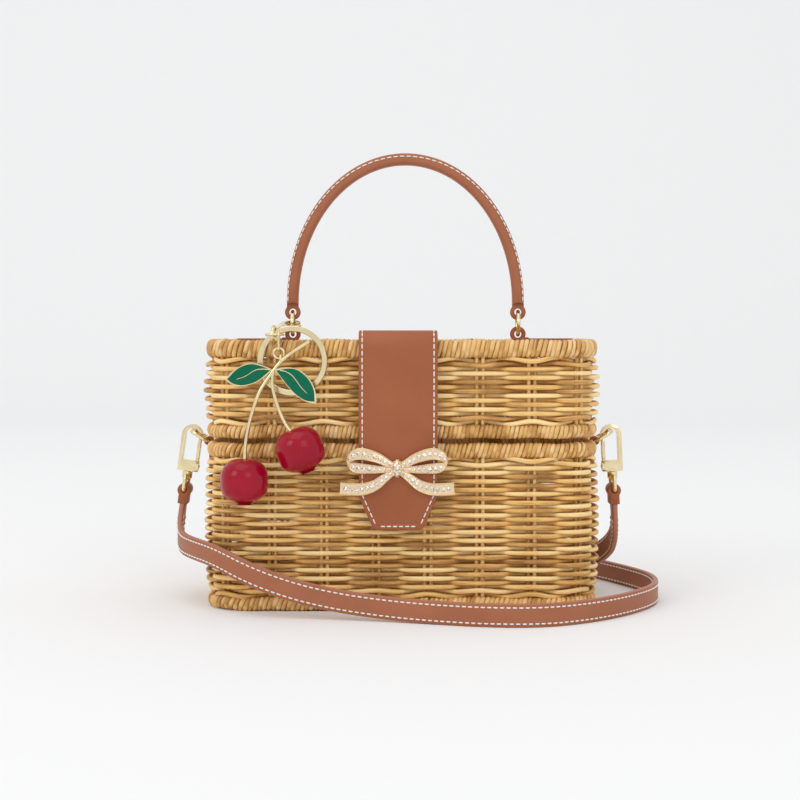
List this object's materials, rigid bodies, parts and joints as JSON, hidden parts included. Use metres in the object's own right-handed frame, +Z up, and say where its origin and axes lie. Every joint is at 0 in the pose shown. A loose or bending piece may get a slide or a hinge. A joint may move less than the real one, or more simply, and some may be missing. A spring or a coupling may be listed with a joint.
{
  "type": "basket box bag",
  "caption": "Woven cane box bag with hinged lid, leather flap with bow, arched handle, removable shoulder strap and a cherry charm.",
  "frame": {"origin": "middle of the flat underside of the basket, on the floor", "axes": "+X right as seen from the front, front faces -Y, +Z up"},
  "size_m": [0.2779, 0.2606, 0.2482],
  "materials": {
    "cane": "woven split cane, honey varnish",
    "leather": "smooth tan leather with white stitching",
    "gold": "polished pale gold",
    "magnet_steel": "nickel plated",
    "leaf_enamel": "glossy green enamel",
    "cherry_enamel": "glossy deep red enamel",
    "clear_stone": "cut clear stones"
  },
  "bodies": {
    "basket": {"basket_shell": "cane", "hinge_loop_left": "cane", "hinge_loop_right": "cane", "basket_magnet": "magnet_steel", "magnet_washer": "magnet_steel", "side_tab_left": "leather", "side_tab_right": "leather", "swivel_eye_left": "gold", "swivel_eye_right": "gold", "strap_end_left": "leather", "strap_end_right": "leather", "shoulder_strap": "leather"},
    "lid": {"lid_shell": "cane", "handle_ring_left": "gold", "handle_ring_right": "gold", "handle_tab_left": "leather", "handle_tab_right": "leather"},
    "handle": {"handle": "leather"},
    "flap": {"flap": "leather", "flap_magnet": "magnet_steel", "bow": "gold", "bow_stones": "clear_stone"},
    "clasp": {"clasp_body": "gold", "clasp_pin": "gold"},
    "clasp_lever": {"clasp_lever": "gold"},
    "charm_swivel": {"charm_eye": "gold", "key_ring": "gold", "connector_ring": "gold"},
    "pendant": {"charm_link": "gold", "jump_ring": "gold", "cherry_stems": "gold", "leaf_enamel_left": "leaf_enamel", "leaf_enamel_right": "leaf_enamel", "cherry_left": "cherry_enamel", "cherry_right": "cherry_enamel"},
    "side_ring_left": {"side_ring_left": "gold"},
    "side_ring_right": {"side_ring_right": "gold"},
    "hook_left": {"snap_hook_left": "gold", "gate_pin_left": "gold"},
    "hook_right": {"snap_hook_right": "gold", "gate_pin_right": "gold"},
    "gate_left": {"hook_gate_left": "gold"},
    "gate_right": {"hook_gate_right": "gold"}
  },
  "joints": [
    {"name": "lid_hinge", "type": "hinge", "parent": "basket", "child": "lid", "pos_m": [0, 0.0515, 0.091], "axis": [-1, 0, 0], "range_deg": [0, 100]},
    {"name": "flap_hinge", "type": "hinge", "parent": "lid", "child": "flap", "pos_m": [-0.002, -0.018, 0.1438], "axis": [-1, 0, 0], "range_deg": [0, 110]},
    {"name": "handle_fold", "type": "hinge", "parent": "lid", "child": "handle", "pos_m": [0.002, 0, 0.1538], "axis": [-1, 0, 0], "range_deg": [-12, 78]},
    {"name": "clasp_tilt", "type": "hinge", "parent": "lid", "child": "clasp", "pos_m": [-0.061, -0.0064, 0.1538], "axis": [-1, 0, 0], "range_deg": [0, 15]},
    {"name": "clasp_lever_press", "type": "hinge", "parent": "clasp", "child": "clasp_lever", "pos_m": [-0.06058, -0.02208, 0.15174], "axis": [-0.0184, -0.1304, 0.9913], "range_deg": [0, 20], "stiffness_Nm_per_rad": 0.004},
    {"name": "charm_swivel_turn", "type": "hinge", "parent": "clasp", "child": "charm_swivel", "pos_m": [-0.0675, -0.0526, 0.1476], "axis": [-0.1381, -0.9816, -0.1317], "range_deg": [-4, 6]},
    {"name": "pendant_swing", "type": "hinge", "parent": "charm_swivel", "child": "pendant", "pos_m": [-0.0642, -0.06244, 0.1476], "axis": [-1, 0, 0], "range_deg": [0, 40]},
    {"name": "side_ring_left_turn", "type": "hinge", "parent": "basket", "child": "side_ring_left", "pos_m": [-0.1082, 0, 0.088], "axis": [0, -1, 0], "range_deg": [0, 10]},
    {"name": "hook_left_swivel", "type": "hinge", "parent": "basket", "child": "hook_left", "pos_m": [-0.11719, 0, 0.09342], "axis": [-0.1392, 0, -0.9903], "range_deg": [-12, 12]},
    {"name": "gate_left_press", "type": "hinge", "parent": "hook_left", "child": "gate_left", "pos_m": [-0.11531, 0, 0.07337], "axis": [0, -1, 0], "range_deg": [0, 25], "stiffness_Nm_per_rad": 0.01},
    {"name": "side_ring_right_turn", "type": "hinge", "parent": "basket", "child": "side_ring_right", "pos_m": [0.1082, 0, 0.088], "axis": [0, 1, 0], "range_deg": [0, 10]},
    {"name": "hook_right_swivel", "type": "hinge", "parent": "basket", "child": "hook_right", "pos_m": [0.11719, 0, 0.09342], "axis": [0.0523, 0, -0.9986], "range_deg": [-12, 12]},
    {"name": "gate_right_press", "type": "hinge", "parent": "hook_right", "child": "gate_right", "pos_m": [0.11357, 0, 0.07361], "axis": [0, 1, 0], "range_deg": [0, 25], "stiffness_Nm_per_rad": 0.01}
  ]
}
